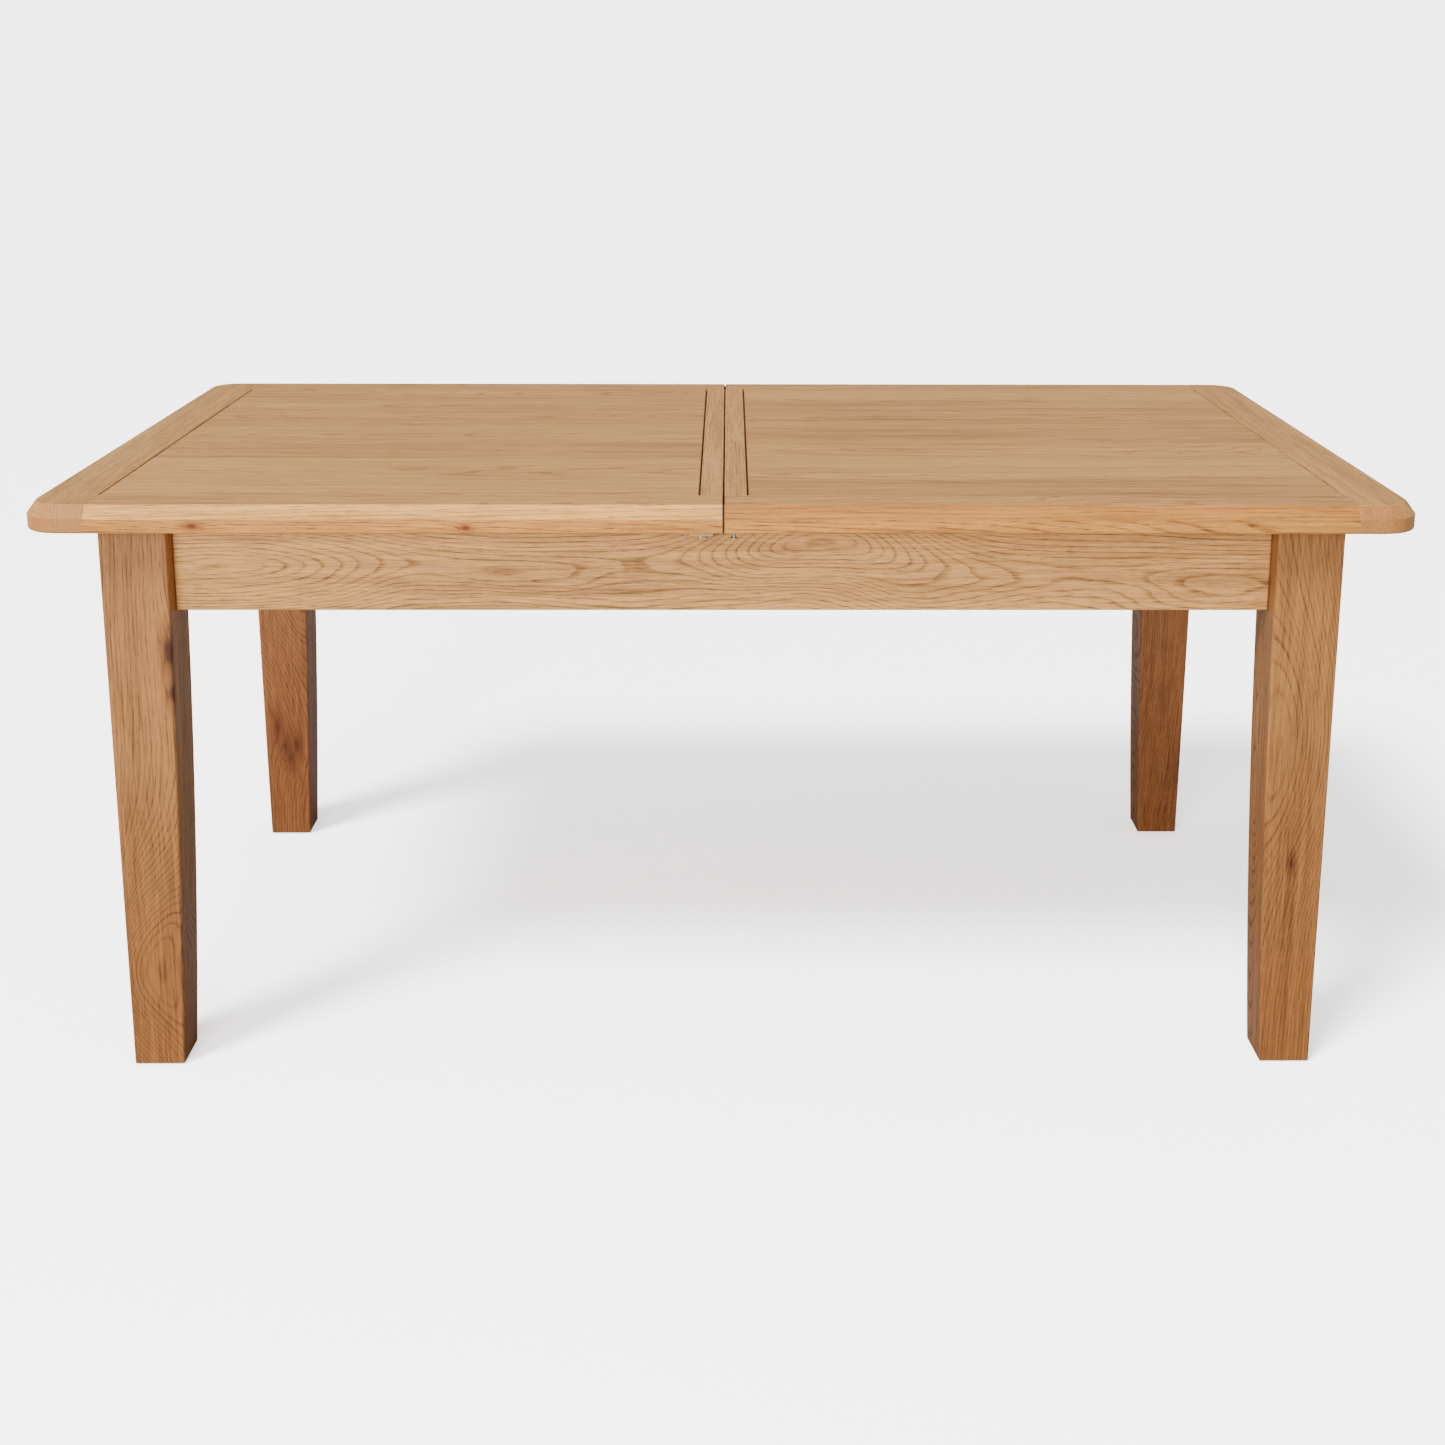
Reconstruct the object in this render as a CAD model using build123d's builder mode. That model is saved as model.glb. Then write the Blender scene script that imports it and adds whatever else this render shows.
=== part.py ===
"""Extending oak dining table: two sliding top halves on a fixed frame, a folded leaf in the well.

Millimetres, +Z up, the long side along X, the front at -Y. The origin is on the floor under the
table's centre. The top halves slide apart along X. Each hangs on two hardwood sliders that run along
a fixed rail, and a pinion in each rail meshes with a rack on either side of it, so the halves always
move the same way from the centre. Under the front and back edges a draw catch joins the halves.
"""

import os
from math import acos, cos, hypot, pi, radians, sin, sqrt, tan

from build123d import *

os.makedirs("parts", exist_ok=True)

# Overall sizes.
LENGTH, WIDTH, HEIGHT = 1742.0, 950.0, 775.0
TRAVEL = 240.0  # how far each half of the top slides out

# The top.
BOARD = 17.0  # thickness of the top's boards
LIPPING = 18.0  # depth of the build-up under the edge
LIPPING_WIDTH = 36.0
CORNER_RADIUS = 50.0
BEVEL_IN, BEVEL_DROP = 12.0, 16.0
ARRIS_RADIUS, LOWER_EDGE_RADIUS = 2.0, 3.0
SEAM_GAP = 2.0  # between the halves
SHADOW_GAP = 2.2  # between a panel and its stiles
SEAM_EASE = 0.8  # chamfer along the seam and the shadow gaps
END_STILE, INNER_STILE, RAIL = 82.0, 28.5, 64.0
TONGUE, TONGUE_HEIGHT, TONGUE_RISE, TONGUE_PLAY = 7.5, 5.5, 2.0, 0.5
DOWEL_RADIUS, DOWEL_IN, DOWEL_OUT, DOWEL_PLAY = 4.0, 18.0, 11.0, 0.15
DOWEL_YS = (-300.0, -100.0, 100.0, 300.0)
# The flat tongues across the seam, in the front and back edges, and the wood left outside them.
FLAT_TONGUE_IN, FLAT_TONGUE_OUT, FLAT_TONGUE_PLAY = 8.0, 6.0, 0.3
FLAT_TONGUE_SKIN, FLAT_TONGUE_INNER = 3.0, 32.0

# The frame.
LEG, FOOT, LEG_BULGE, LEG_EDGE = 85.0, 66.0, 3.0, 2.5
LEG_X, LEG_Y = 786.0, 432.0  # the legs' outer faces
LEG_CHAMFER = 12.0  # the flat that a leg's inner corner rests on its corner block with
PAD, PAD_SIDE = 2.0, 48.0
APRON, APRON_SETBACK, APRON_BOTTOM, APRON_EDGE = 24.0, 28.0, 622.0, 3.0
FRAME_PLAY = 1.0  # between the frame and the boards that slide over it
BLOCK_LOW, BLOCK_HIGH, BLOCK_WIDTH = 634.0, 688.0, 45.0
BOLT_RADIUS, BOLT_IN_LEG, BOLT_HEIGHTS = 4.0, 45.0, (648.0, 674.0)
WASHER, WASHER_RADIUS, NUT, NUT_RADIUS = 1.6, 9.0, 6.5, 7.5
HOLE_PLAY = 0.1  # radial play of a bolt or screw in its hole

# Slides, racks and pinions.
BEARER, BEARER_LOW, BEARER_HIGH = 30.0, 650.0, 690.0
INNER_BEARER_X, OUTER_BEARER_X = 258.0, 588.0
STUB, STUB_WIDTH, STUB_INSET = 8.0, 14.0, 6.0
RAIL_Y, SLIDE_RAIL, SLIDE_RAIL_HIGH, SLIDE_RAIL_X = 329.5, 28.0, 756.0, 660.0
SLIDER, SLIDER_LOW, SLIDE_PLAY = 24.0, 696.0, 0.5
SLIDER_OUTER_END, SLIDER_INNER_END = 450.0, 270.0
SLIDER_RELIEF = 1.5  # clearance of a slider's free end under the other half
GUIDE_LOW, GUIDE_HIGH, GUIDE = 702.0, 712.0, 7.0
MODULE, TEETH, PRESSURE_ANGLE, BACKLASH = 2.5, 16, radians(20), 0.4
PINION_LOW, PINION_HIGH, AXLE_RADIUS, AXLE_PLAY = 728.5, 737.5, 4.0, 0.05
RACK_LOW, RACK_HIGH, RACK_BACK = 728.0, 738.0, 7.0
RACK_NEAR, RACK_FAR = 22.0, 262.0

# Catches under the front and back edges: x from the seam, z down from the edge's underside.
CATCH_Y = WIDTH / 2 - 23
PACKER_X, PACKER_WIDTH, PACKER = (-42.0, -13.0), 20.0, 6.0
PIVOT_X, PIVOT_RADIUS, PIVOT_HEAD, PIVOT_HEAD_HEIGHT, PIVOT_PLAY = -24.0, 2.5, 4.5, 1.6, 0.1
LEVER, LEVER_WIDTH, LEVER_TAIL, LEVER_REACH, LEVER_OPEN = 2.0, 12.0, -11.0, 46.0, 37.0
KEEPER_X, KEEPER_RADIUS, KEEPER_HEAD, SLOT_RADIUS = 13.0, 2.2, 4.2, 3.0
STAPLE_X, STAPLE_DEPTH, STAPLE_WIRE, STAPLE_Y = (-50.0, -44.0), 8.5, 1.2, 9.0
LEVER_GAP = 0.3  # between the lever and the packer

RAIL_SCREW, RAIL_SCREW_HEAD, RAIL_SCREW_SEAT, RAIL_SCREW_BITE = 2.5, 5.0, 664.0, 11.0
AXLE_LOW, AXLE_HEAD = 712.5, 6.5
GUIDE_PLAY, CHANNEL_PAST = 0.5, 4.0
ADDENDUM, DEDENDUM = 0.9 * MODULE, 1.25 * MODULE

# The butterfly leaf, folded and upside down on its pivots.
LEAF = 458.0
LEAF_PIVOT_Z, LEAF_FACE = 747.5, 720.0  # the pivot, and the plane where the folded faces meet
LEAF_PIVOT_RADIUS, LEAF_PIVOT_PLAY = 5.0, 0.1
PIVOT_BLOCK, REST, HINGE_PLATE = 30.0, 38.0, 1.5
HINGE_SPACING, HINGE_LENGTH, HINGE_KNUCKLE, HINGE_PIN = 170.0, 42.0, 2.6, 1.2

# The screws that hold the sliders, and the pins that hold the catches.
SLIDER_SCREW, SLIDER_SCREW_HEAD, SLIDER_SCREW_HEAD_HEIGHT, SCREW_SEAT = 2.5, 5.0, 3.5, 726.0
SLIDER_SCREW_XS, SCREW_BITE = (60.0, 160.0, 280.0, 400.0), 12.0
CATCH_PIN, CATCH_BITE = 1.6, 13.0

# Worked out from the above.
UNDERSIDE = HEIGHT - BOARD
EDGE_UNDERSIDE = UNDERSIDE - LIPPING
FULL_BOARD = (UNDERSIDE, HEIGHT)
BOARD_MIDDLE = UNDERSIDE + BOARD / 2
TONGUE_LOW, TONGUE_HIGH = UNDERSIDE + TONGUE_RISE, UNDERSIDE + TONGUE_RISE + TONGUE_HEIGHT
FRAME_TOP = UNDERSIDE - FRAME_PLAY
PANEL_OUTER = LENGTH / 2 - END_STILE - SHADOW_GAP
PANEL_INNER = SEAM_GAP / 2 + INNER_STILE + SHADOW_GAP
PANEL_Y = WIDTH / 2 - RAIL
LEG_INNER_X, LEG_INNER_Y = LEG_X - LEG, LEG_Y - LEG
APRON_OUT_X, APRON_OUT_Y = LEG_X - APRON_SETBACK, LEG_Y - APRON_SETBACK
APRON_IN_X, APRON_IN_Y = APRON_OUT_X - APRON, APRON_OUT_Y - APRON
BLOCK_DIAGONAL = LEG_INNER_X + LEG_INNER_Y + LEG_CHAMFER  # |x| + |y| on the face that meets the leg
PITCH_RADIUS = MODULE * TEETH / 2
RACK_PITCH = pi * MODULE
LEAF_HALF = WIDTH / 2
LEAF_PIVOT_Y = -LEAF_HALF / 4
SIDES = {"left": -1, "right": 1}
ENDS = {"front": -1, "back": 1}
RISING = (Align.CENTER, Align.CENTER, Align.MIN)


def save(builder, name):
    """Writes a finished piece as one STEP file."""
    builder.part.label = name
    export_step(builder.part, f"parts/{name}.step")


def slab(x, y, z, mode=Mode.ADD):
    """A box between the pairs of limits x, y and z, in the part being built."""
    with Locations((min(x), min(y), min(z))):
        Box(abs(x[1] - x[0]), abs(y[1] - y[0]), abs(z[1] - z[0]), align=(Align.MIN,) * 3, mode=mode)


def rod(start, direction, length, radius, mode=Mode.ADD):
    """A round bar from start along direction, in the part being built."""
    with Locations(Plane(origin=start, z_dir=direction)):
        Cylinder(radius, length, align=RISING, mode=mode)


def slider_y(side):
    """A slider's distance from the table's centre line: the left half's run outside, the right's inside."""
    return RAIL_Y - side * (SLIDE_RAIL / 2 + SLIDE_PLAY + SLIDER / 2)


def catch_fixings(side, end):
    """Bottoms of the holes under the edge: pivot and staple on the left half, keeper on the right."""
    y = end * CATCH_Y
    if side > 0:
        return [(KEEPER_X, y, EDGE_UNDERSIDE)]
    return [
        (PIVOT_X, y, EDGE_UNDERSIDE),
        (sum(STAPLE_X) / 2, y - STAPLE_Y / 2, EDGE_UNDERSIDE),
        (sum(STAPLE_X) / 2, y + STAPLE_Y / 2, EDGE_UNDERSIDE),
    ]


# ---------------------------------------------------------------- the outline the boards are cut from

with BuildPart() as top_blank:
    with BuildSketch(Plane.XY.offset(UNDERSIDE)):
        RectangleRounded(LENGTH, WIDTH, CORNER_RADIUS)
    extrude(amount=BOARD)
    upper = top_blank.faces().sort_by(Axis.Z)[-1]
    chamfer(upper.edges(), BEVEL_IN, BEVEL_DROP, reference=upper)
    fillet(top_blank.faces().sort_by(Axis.Z)[-1].edges(), ARRIS_RADIUS)

with BuildPart() as edge_blank:
    with BuildSketch(Plane.XY.offset(EDGE_UNDERSIDE)):
        RectangleRounded(LENGTH, WIDTH, CORNER_RADIUS)
    extrude(amount=LIPPING)
    fillet(edge_blank.faces().sort_by(Axis.Z)[0].edges(), LOWER_EDGE_RADIUS)


def ease_along_y(builder, x_places):
    """Chamfers the long top edges at the given x places, along the seam or a shadow gap."""
    tops = builder.edges().filter_by(Axis.Y).filter_by_position(Axis.Z, HEIGHT - 0.01, HEIGHT + 0.01)
    chosen = [e for e in tops if min(abs(e.center().X - x) for x in x_places) < 0.01]
    chamfer(chosen, SEAM_EASE)


def ease_seam_end(builder, seam, end):
    """Chamfers a piece's edges at the seam where they run down the front or back of the top."""
    outside = WIDTH / 2 - BEVEL_IN - 1

    def is_at_seam(point):
        return abs(point.X - seam) < 0.01 and end * point.Y > outside

    chosen = [
        e for e in builder.edges()
        if is_at_seam(e @ 0) and is_at_seam(e @ 1) and abs((e @ 0).Z - (e @ 1).Z) > 5
    ]
    chamfer(chosen, SEAM_EASE)


def flat_tongue(end, x, play=0.0, mode=Mode.ADD):
    """Adds or cuts the tongue at one end of the seam: the edge's own section, set in from its faces."""
    skin = FLAT_TONGUE_SKIN - play
    lean = BEVEL_IN / BEVEL_DROP
    shift = skin * hypot(BEVEL_IN, BEVEL_DROP) / BEVEL_DROP
    inner, outer = WIDTH / 2 - FLAT_TONGUE_INNER - play, WIDTH / 2 - skin
    low, top = EDGE_UNDERSIDE + skin, HEIGHT - skin
    knee = HEIGHT - BEVEL_DROP - (shift - skin) / lean
    crest = WIDTH / 2 - shift - lean * (BEVEL_DROP - skin)
    points = [(inner, low), (outer, low), (outer, knee), (crest, top), (inner, top)]
    with BuildSketch(Plane.YZ.offset(min(x))) as section:
        with BuildLine():
            Polyline(*[(end * y, z) for y, z in points], close=True)
        make_face()
    extrude(section.sketch, amount=abs(x[1] - x[0]), mode=mode)


def slot_for_flat_tongue(side, end):
    """Cuts the flat tongue's slot in one half: it is glued on the left and loose on the right."""
    seam = side * SEAM_GAP / 2
    play = 0.0 if side < 0 else FLAT_TONGUE_PLAY
    depth = FLAT_TONGUE_IN if side < 0 else FLAT_TONGUE_OUT + SEAM_GAP
    flat_tongue(end, (seam, seam + side * depth), play, mode=Mode.SUBTRACT)


def slot_for_tongues(x_face, direction):
    """Cuts the slot that the panel's tongues enter, from x_face into the stile."""
    deep = x_face + direction * (TONGUE + TONGUE_PLAY - SHADOW_GAP)
    slab((x_face, deep), (-PANEL_Y, PANEL_Y), (TONGUE_LOW - 0.2, TONGUE_HIGH + 0.2), mode=Mode.SUBTRACT)


def end_stile(side):
    """The board across the outer end, with both rounded corners."""
    inner = side * (LENGTH / 2 - END_STILE)
    with BuildPart() as stile:
        add(top_blank.part)
        slab((inner, side * LENGTH / 2), (-WIDTH / 2, WIDTH / 2), FULL_BOARD, mode=Mode.INTERSECT)
        ease_along_y(stile, (inner,))
        slot_for_tongues(inner, side)
    return stile


def long_rail(side, end):
    """The board along the front or back edge, from the end stile to the seam."""
    seam, outer = side * SEAM_GAP / 2, side * (LENGTH / 2 - END_STILE)
    with BuildPart() as rail:
        add(top_blank.part)
        slab((seam, outer), (end * PANEL_Y, end * WIDTH / 2), FULL_BOARD, mode=Mode.INTERSECT)
        ease_along_y(rail, (seam,))
        ease_seam_end(rail, seam, end)
        slot_for_flat_tongue(side, end)
    return rail


def inner_stile(side):
    """The board along the seam, between the long rails. The right one has the sockets for the seam dowels."""
    seam, outer = side * SEAM_GAP / 2, side * (PANEL_INNER - SHADOW_GAP)
    with BuildPart() as stile:
        slab((seam, outer), (-PANEL_Y, PANEL_Y), FULL_BOARD)
        ease_along_y(stile, (seam, outer))
        slot_for_tongues(outer, -side)
        depth = DOWEL_IN if side < 0 else DOWEL_OUT + SEAM_GAP
        radius = DOWEL_RADIUS + (0 if side < 0 else DOWEL_PLAY)
        for y in DOWEL_YS:
            rod((seam, y, BOARD_MIDDLE), (side, 0, 0), depth, radius, mode=Mode.SUBTRACT)
    return stile


def panel(side):
    """The glued-up board, with a tongue at both ends that floats in the stiles' slots."""
    inner, outer = side * PANEL_INNER, side * PANEL_OUTER
    with BuildPart() as board:
        slab((inner, outer), (-PANEL_Y, PANEL_Y), FULL_BOARD)
        ease_along_y(board, (inner, outer))
        slab((inner - side * TONGUE, outer + side * TONGUE), (-PANEL_Y, PANEL_Y), (TONGUE_LOW, TONGUE_HIGH))
        for end in ENDS.values():
            for x in SLIDER_SCREW_XS:
                hole_x = side * x
                hole_y = end * slider_y(side)
                rod((hole_x, hole_y, UNDERSIDE), (0, 0, 1), SCREW_BITE, SLIDER_SCREW, mode=Mode.SUBTRACT)
    return board


def lipping(side, place):
    """One of the strips that double the thickness under the end, the front or the back edge."""
    seam, stile = side * SEAM_GAP / 2, side * (LENGTH / 2 - END_STILE)
    if place == "end":
        x, y = (stile, side * LENGTH / 2), (-WIDTH / 2, WIDTH / 2)
    else:
        end = ENDS[place]
        x, y = (seam, stile), (end * (WIDTH / 2 - LIPPING_WIDTH), end * WIDTH / 2)
    with BuildPart() as strip:
        add(edge_blank.part)
        slab(x, y, (EDGE_UNDERSIDE, UNDERSIDE), mode=Mode.INTERSECT)
        if place != "end":
            ease_seam_end(strip, seam, ENDS[place])
            slot_for_flat_tongue(side, ENDS[place])
            for fixing in catch_fixings(side, ENDS[place]):
                rod(fixing, (0, 0, 1), CATCH_BITE, CATCH_PIN, mode=Mode.SUBTRACT)
    return strip


# ---------------------------------------------------------------- build the top's boards

for side_name, side in SIDES.items():
    save(end_stile(side), f"end_stile_{side_name}")
    save(inner_stile(side), f"inner_stile_{side_name}")
    save(panel(side), f"panel_{side_name}")
    for place, end in ENDS.items():
        save(long_rail(side, end), f"rail_{place}_{side_name}")
    for place in ("end", *ENDS):
        save(lipping(side, place), f"lipping_{place}_{side_name}")

with BuildPart() as seam_dowels_and_tongues:
    for y in DOWEL_YS:
        start = (-SEAM_GAP / 2 - DOWEL_IN, y, BOARD_MIDDLE)
        rod(start, (1, 0, 0), DOWEL_IN + SEAM_GAP + DOWEL_OUT - 2, DOWEL_RADIUS)
        with Locations(Plane(origin=(SEAM_GAP / 2 + DOWEL_OUT - 2, y, BOARD_MIDDLE), z_dir=(1, 0, 0))):
            Cone(DOWEL_RADIUS, DOWEL_RADIUS - 1.5, 1.5, align=RISING)
    for end in ENDS.values():
        flat_tongue(end, (-SEAM_GAP / 2 - FLAT_TONGUE_IN, SEAM_GAP / 2 + FLAT_TONGUE_OUT))
save(seam_dowels_and_tongues, "seam_dowels_and_tongues")

# ---------------------------------------------------------------- legs, pads and aprons


def leg_profile(plane):
    """A leg's side outline: straight outside; inside square to the apron's bottom, then a bowed taper."""
    middle = ((LEG + FOOT) / 2 + LEG_BULGE, (APRON_BOTTOM + PAD) / 2)
    with BuildSketch(plane) as outline:
        with BuildLine():
            Polyline((LEG, APRON_BOTTOM), (LEG, FRAME_TOP), (0, FRAME_TOP), (0, PAD), (FOOT, PAD))
            ThreePointArc((FOOT, PAD), middle, (LEG, APRON_BOTTOM))
        make_face()
    return outline.sketch


# A leg with its outer corner on the Z axis, running towards +X and +Y, and the hanger bolts' holes in it.
FLAT = LEG - LEG_CHAMFER / 2
OUTWARD = (-1 / sqrt(2), -1 / sqrt(2), 0)
FACING_X = Plane(origin=(0, 0, 0), x_dir=(0, 1, 0), z_dir=(1, 0, 0))
FACING_Y = Plane(origin=(0, 0, 0), x_dir=(1, 0, 0), z_dir=(0, -1, 0))

with BuildPart() as leg_side_view:
    extrude(leg_profile(FACING_X), amount=LEG)

with BuildPart() as leg_blank:
    extrude(leg_profile(FACING_Y), amount=-LEG)
    add(leg_side_view.part, mode=Mode.INTERSECT)
    upright = [e for e in leg_blank.edges() if abs((e @ 0).Z - (e @ 1).Z) > 100]
    fillet(upright, LEG_EDGE)
    # The flat for the corner block, over the block's height.
    with BuildSketch(Plane.XY.offset(BLOCK_LOW)):
        with BuildLine():
            Polyline((LEG, LEG), (LEG - LEG_CHAMFER, LEG), (LEG, LEG - LEG_CHAMFER), close=True)
        make_face()
    extrude(amount=BLOCK_HIGH - BLOCK_LOW, mode=Mode.SUBTRACT)
    for z in BOLT_HEIGHTS:
        rod((FLAT, FLAT, z), OUTWARD, BOLT_IN_LEG, BOLT_RADIUS, mode=Mode.SUBTRACT)

for end_name, end in ENDS.items():
    for side_name, side in SIDES.items():
        turned = leg_blank.part
        if side > 0:
            turned = mirror(turned, about=Plane.YZ, mode=Mode.PRIVATE)
        if end > 0:
            turned = mirror(turned, about=Plane.XZ, mode=Mode.PRIVATE)
        with BuildPart() as leg:
            add(turned.moved(Location((side * LEG_X, end * LEG_Y, 0))))
        save(leg, f"leg_{end_name}_{side_name}")

with BuildPart() as foot_pads:
    for end in ENDS.values():
        for side in SIDES.values():
            with Locations((side * (LEG_X - FOOT / 2), end * (LEG_Y - FOOT / 2), 0)):
                Box(PAD_SIDE, PAD_SIDE, PAD, align=RISING)
save(foot_pads, "foot_pads")


def apron_board(length, width_axis, face, side):
    """An apron board with eased lower and end edges on its outer face."""
    outer, inner = side * face, side * (face - APRON)
    along = (-length / 2, length / 2)
    with BuildPart() as board:
        if width_axis == Axis.Y:
            slab(along, (outer, inner), (APRON_BOTTOM, FRAME_TOP))
        else:
            slab((outer, inner), along, (APRON_BOTTOM, FRAME_TOP))
        outer_face = board.faces().sort_by(width_axis)[0 if side < 0 else -1]
        eased = outer_face.edges().filter_by(Axis.Z) + outer_face.edges().sort_by(Axis.Z)[:1]
        fillet(eased, APRON_EDGE)
        for bearer_x in BEARER_XS:
            if width_axis == Axis.Y:
                slab(stub_limits(bearer_x), (inner, inner + side * (STUB + 0.3)), STUB_Z, mode=Mode.SUBTRACT)
    return board


BEARER_XS = (-OUTER_BEARER_X, -INNER_BEARER_X, INNER_BEARER_X, OUTER_BEARER_X)
STUB_Z = (BEARER_LOW + STUB_INSET, BEARER_HIGH - STUB_INSET)


def stub_limits(bearer_x):
    """The x limits of a bearer's stub tenon."""
    return (bearer_x - STUB_WIDTH / 2, bearer_x + STUB_WIDTH / 2)


for end_name, end in ENDS.items():
    save(apron_board(2 * LEG_INNER_X, Axis.Y, APRON_OUT_Y, end), f"apron_{end_name}")
for side_name, side in SIDES.items():
    save(apron_board(2 * LEG_INNER_Y, Axis.X, APRON_OUT_X, side), f"apron_{side_name}")

# ---------------------------------------------------------------- corner blocks with their bolts


def corner_middle(x_side, y_side, inset):
    """The middle of the flat on a leg's inner corner, moved inwards by inset."""
    step = (BLOCK_DIAGONAL - LEG_INNER_X - LEG_INNER_Y) / 2
    x, y = LEG_INNER_X + step, LEG_INNER_Y + step
    return x_side * (x - inset / sqrt(2)), y_side * (y - inset / sqrt(2))


def every_corner():
    """The four corners, each as the signs of its x and y."""
    return [(x_side, y_side) for x_side in SIDES.values() for y_side in ENDS.values()]


with BuildPart() as corner_blocks:
    near, far = BLOCK_DIAGONAL, BLOCK_DIAGONAL - BLOCK_WIDTH * sqrt(2)
    for x_side, y_side in every_corner():
        points = [
            (APRON_IN_X, near - APRON_IN_X), (near - APRON_IN_Y, APRON_IN_Y),
            (far - APRON_IN_Y, APRON_IN_Y), (APRON_IN_X, far - APRON_IN_X),
        ]
        with BuildSketch(Plane.XY.offset(BLOCK_LOW)):
            with BuildLine():
                Polyline(*[(x_side * x, y_side * y) for x, y in points], close=True)
            make_face()
        extrude(amount=BLOCK_HIGH - BLOCK_LOW)
    for x_side, y_side in every_corner():
        x, y = corner_middle(x_side, y_side, BLOCK_WIDTH + 1)
        for z in BOLT_HEIGHTS:
            rod((x, y, z), (x_side, y_side, 0), BLOCK_WIDTH + 2, BOLT_RADIUS + HOLE_PLAY, mode=Mode.SUBTRACT)
save(corner_blocks, "corner_blocks")

BOLT_TAIL = WASHER + NUT + 4.0
with BuildPart() as hanger_bolts:
    for x_side, y_side in every_corner():
        x, y = corner_middle(x_side, y_side, BLOCK_WIDTH + BOLT_TAIL)
        for z in BOLT_HEIGHTS:
            rod((x, y, z), (x_side, y_side, 0), BOLT_TAIL + BLOCK_WIDTH + BOLT_IN_LEG - 1, BOLT_RADIUS)
save(hanger_bolts, "hanger_bolts")

with BuildPart() as bolt_washers:
    for x_side, y_side in every_corner():
        x, y = corner_middle(x_side, y_side, BLOCK_WIDTH + WASHER)
        for z in BOLT_HEIGHTS:
            rod((x, y, z), (x_side, y_side, 0), WASHER, WASHER_RADIUS)
            rod((x, y, z), (x_side, y_side, 0), WASHER, BOLT_RADIUS + HOLE_PLAY, mode=Mode.SUBTRACT)
save(bolt_washers, "bolt_washers")

with BuildPart() as bolt_nuts:
    for x_side, y_side in every_corner():
        x, y = corner_middle(x_side, y_side, BLOCK_WIDTH + WASHER + NUT)
        for z in BOLT_HEIGHTS:
            with BuildSketch(Plane(origin=(x, y, z), z_dir=(x_side, y_side, 0))):
                RegularPolygon(NUT_RADIUS, 6)
                Circle(BOLT_RADIUS, mode=Mode.SUBTRACT)
            extrude(amount=NUT)
save(bolt_nuts, "bolt_nuts")

# ---------------------------------------------------------------- bearers and the fixed slide rails

with BuildPart() as bearers:
    for bearer_x in BEARER_XS:
        x = (bearer_x - BEARER / 2, bearer_x + BEARER / 2)
        slab(x, (-APRON_IN_Y, APRON_IN_Y), (BEARER_LOW, BEARER_HIGH))
        slab(stub_limits(bearer_x), (-APRON_IN_Y - STUB, APRON_IN_Y + STUB), STUB_Z)
    for bearer_x in BEARER_XS:
        for end in ENDS.values():
            start = (bearer_x, end * RAIL_Y, BEARER_LOW)
            rod(start, (0, 0, 1), RAIL_SCREW_SEAT - BEARER_LOW, RAIL_SCREW_HEAD + 0.5, mode=Mode.SUBTRACT)
            rod(start, (0, 0, 1), 60, RAIL_SCREW + HOLE_PLAY, mode=Mode.SUBTRACT)
save(bearers, "bearers")


def slide_rail(end):
    """A rail with a guide groove along both sides and, in the middle, the open notch for the pinion."""
    y = (end * RAIL_Y - SLIDE_RAIL / 2, end * RAIL_Y + SLIDE_RAIL / 2)
    with BuildPart() as rail:
        slab((-SLIDE_RAIL_X, SLIDE_RAIL_X), y, (BEARER_HIGH, SLIDE_RAIL_HIGH))
        for face, step in zip(y, (1, -1)):
            slab((-700, 700), (face, face + step * GUIDE), (GUIDE_LOW, GUIDE_HIGH), mode=Mode.SUBTRACT)
        slab((-24, 24), (y[0] - 1, y[1] + 1), (PINION_LOW - 0.5, SLIDE_RAIL_HIGH + 1), mode=Mode.SUBTRACT)
        rod((0, end * RAIL_Y, AXLE_LOW), (0, 0, 1), 60, AXLE_RADIUS, mode=Mode.SUBTRACT)
        for bearer_x in BEARER_XS:
            start = (bearer_x, end * RAIL_Y, BEARER_HIGH)
            rod(start, (0, 0, 1), RAIL_SCREW_BITE, RAIL_SCREW, mode=Mode.SUBTRACT)
    return rail


for end_name, end in ENDS.items():
    save(slide_rail(end), f"slide_rail_{end_name}")

with BuildPart() as rail_screws:
    for bearer_x in BEARER_XS:
        for end in ENDS.values():
            head = (bearer_x, end * RAIL_Y, RAIL_SCREW_SEAT - RAIL_SCREW_HEAD)
            rod(head, (0, 0, 1), RAIL_SCREW_HEAD, RAIL_SCREW_HEAD)
            rod(head, (0, 0, 1), BEARER_HIGH + RAIL_SCREW_BITE - head[2], RAIL_SCREW)
save(rail_screws, "rail_screws")

# ---------------------------------------------------------------- sliders, racks and pinions


def rack_limits(side):
    """The x limits of a half's racks in the closed top: they reach past the seam, under the other half."""
    return (-side * RACK_FAR, side * RACK_NEAR)


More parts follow.
